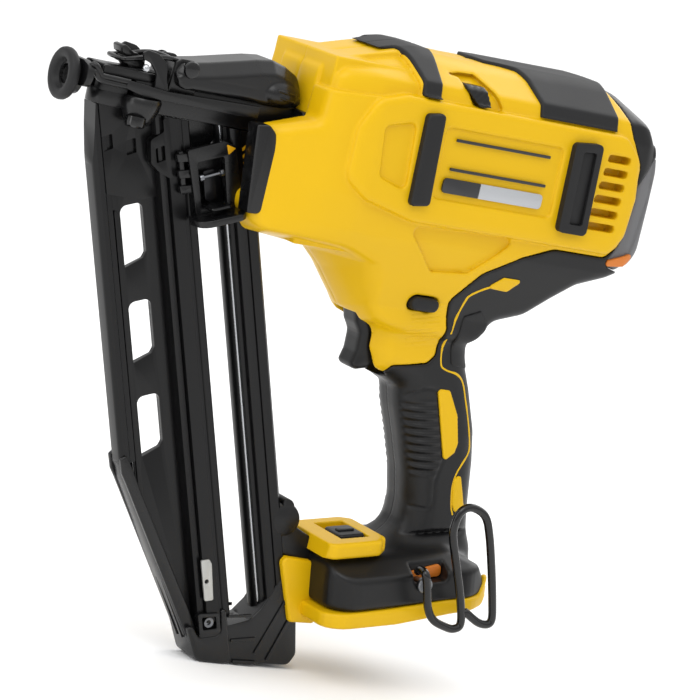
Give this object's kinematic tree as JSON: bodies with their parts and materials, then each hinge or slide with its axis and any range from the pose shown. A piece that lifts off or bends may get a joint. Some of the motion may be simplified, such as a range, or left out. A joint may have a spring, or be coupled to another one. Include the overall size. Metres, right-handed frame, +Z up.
{
  "type": "brad nailer",
  "caption": "Cordless angled finish nailer without its battery: casing, handle with foot, slanted nail magazine and flywheel drive",
  "frame": {"origin": "centre of the nail exit at the front of the no-mar pad, on the firing axis", "axes": "+X rearwards along the firing axis, +Y to the tool's right, +Z up"},
  "size_m": [0.311, 0.097, 0.3074],
  "materials": {
    "casing_yellow": "fine textured moulded nylon",
    "black_plastic": "fine textured glass-filled nylon",
    "grey_plastic": "satin moulded",
    "soft_rubber": "matte overmould",
    "black_metal": "black anodised, satin",
    "bright_steel": "ground and polished",
    "spring_steel": "drawn wire",
    "cast_metal": "cast magnesium, blasted",
    "copper": "enamelled windings",
    "label": "silver blank plate"
  },
  "bodies": {
    "frame": {"housing_left": "casing_yellow", "housing_right": "casing_yellow", "foot_skirt": "casing_yellow", "mode_block": "casing_yellow", "magazine_bracket": "casing_yellow", "rear_cap": "grey_plastic", "terminal_block": "grey_plastic", "control_module": "grey_plastic", "trigger_switch": "grey_plastic", "rear_underside_cover": "black_plastic", "front_cover": "black_plastic", "foot_left": "black_plastic", "foot_right": "black_plastic", "magazine_end_cap": "black_plastic", "magazine_front_rail": "black_plastic", "magazine_side_plates": "black_plastic", "top_bumper_front": "soft_rubber", "top_bumper_rear": "soft_rubber", "side_bumpers": "soft_rubber", "grip_cover_left": "soft_rubber", "grip_cover_right": "soft_rubber", "stop_bumpers": "soft_rubber", "belt_hook": "black_metal", "nose_body": "black_metal", "magazine_channel": "black_metal", "magazine_rear_rail": "black_metal", "belt_hook_screw": "bright_steel", "guide_rods": "bright_steel", "motor_bearings": "bright_steel", "pinch_pivot_pin": "bright_steel", "casing_screws": "bright_steel", "nose_screws": "bright_steel", "door_pin": "bright_steel", "latch_pin": "bright_steel", "magazine_screws": "bright_steel", "trigger_spring": "spring_steel", "return_springs": "spring_steel", "trip_spring": "spring_steel", "drive_frame": "cast_metal", "motor_stator": "copper", "solenoid": "copper", "side_plates": "label"},
    "trigger": {"trigger": "black_plastic"},
    "lock_off": {"lock_off_button": "black_plastic"},
    "contact_trip": {"contact_trip": "black_metal", "no_mar_pad": "soft_rubber"},
    "jam_latch": {"jam_latch": "black_metal"},
    "latch_bail": {"latch_bail": "spring_steel"},
    "nose_door": {"nose_door": "black_metal"},
    "pusher": {"pusher": "black_plastic"},
    "pusher_latch": {"pusher_latch": "bright_steel"},
    "stall_release": {"stall_release": "black_plastic"},
    "mode_button": {"mode_button": "black_plastic"},
    "driver": {"driver_carriage": "bright_steel", "driver_blade": "bright_steel"},
    "flywheel": {"flywheel": "spring_steel", "motor_shaft": "bright_steel", "cooling_fan": "black_plastic"},
    "pinch_arm": {"pinch_arm": "bright_steel"},
    "pinch_roller": {"pinch_roller": "bright_steel"}
  },
  "joints": [
    {"name": "trigger_slide", "type": "slide", "parent": "frame", "child": "trigger", "axis": [1, 0, 0], "range_m": [0, 0.006], "stiffness_N_per_m": 1500, "springref_m": -0.003, "deforming": ["trigger_spring"]},
    {"name": "lock_off_slide", "type": "slide", "parent": "frame", "child": "lock_off", "axis": [0, 1, 0], "range_m": [0, 0.005]},
    {"name": "contact_trip_slide", "type": "slide", "parent": "frame", "child": "contact_trip", "axis": [1, 0, 0], "range_m": [0, 0.006], "stiffness_N_per_m": 1200, "springref_m": -0.004, "deforming": ["trip_spring"]},
    {"name": "jam_latch_hinge", "type": "hinge", "parent": "frame", "child": "jam_latch", "pos_m": [0.057, 0, 0.013], "axis": [0, -1, 0], "range_deg": [0, 70]},
    {"name": "latch_bail_hinge", "type": "hinge", "parent": "jam_latch", "child": "latch_bail", "pos_m": [0.061, 0, 0.02], "axis": [0, -1, 0], "range_deg": [-70, 0]},
    {"name": "nose_door_hinge", "type": "hinge", "parent": "frame", "child": "nose_door", "pos_m": [0.046, 0, 0.0065], "axis": [0, 1, 0], "range_deg": [0, 17.5]},
    {"name": "pusher_slide", "type": "slide", "parent": "frame", "child": "pusher", "axis": [0.342, 0, -0.9397], "range_m": [0, 0.175]},
    {"name": "pusher_latch_hinge", "type": "hinge", "parent": "pusher", "child": "pusher_latch", "pos_m": [0.07998, 0, -0.03083], "axis": [0, 1, 0], "range_deg": [0, 12], "stiffness_Nm_per_rad": 0.02},
    {"name": "stall_release_slide", "type": "slide", "parent": "frame", "child": "stall_release", "axis": [1, 0, 0], "range_m": [0, 0.008]},
    {"name": "mode_button_slide", "type": "slide", "parent": "frame", "child": "mode_button", "axis": [0, 1, 0], "range_m": [0, 0.006]},
    {"name": "driver_slide", "type": "slide", "parent": "frame", "child": "driver", "axis": [-1, 0, 0], "range_m": [0, 0.083], "deforming": ["return_springs"]},
    {"name": "flywheel_spin", "type": "hinge", "parent": "frame", "child": "flywheel", "pos_m": [0.215, 0, -0.028], "axis": [0, 1, 0], "continuous": true},
    {"name": "pinch_arm_hinge", "type": "hinge", "parent": "frame", "child": "pinch_arm", "pos_m": [0.252, 0, 0.017], "axis": [0, -1, 0], "range_deg": [0, 1.2], "stiffness_Nm_per_rad": 20, "springref_deg": -1.15},
    {"name": "pinch_roller_spin", "type": "hinge", "parent": "pinch_arm", "child": "pinch_roller", "pos_m": [0.218, 0, 0.0115], "axis": [0, 1, 0], "continuous": true}
  ],
  "couplings": [
    {"joint": "latch_bail_hinge", "follows": "jam_latch_hinge", "ratio": -1},
    {"joint": "nose_door_hinge", "follows": "jam_latch_hinge", "ratio": 0.25}
  ]
}
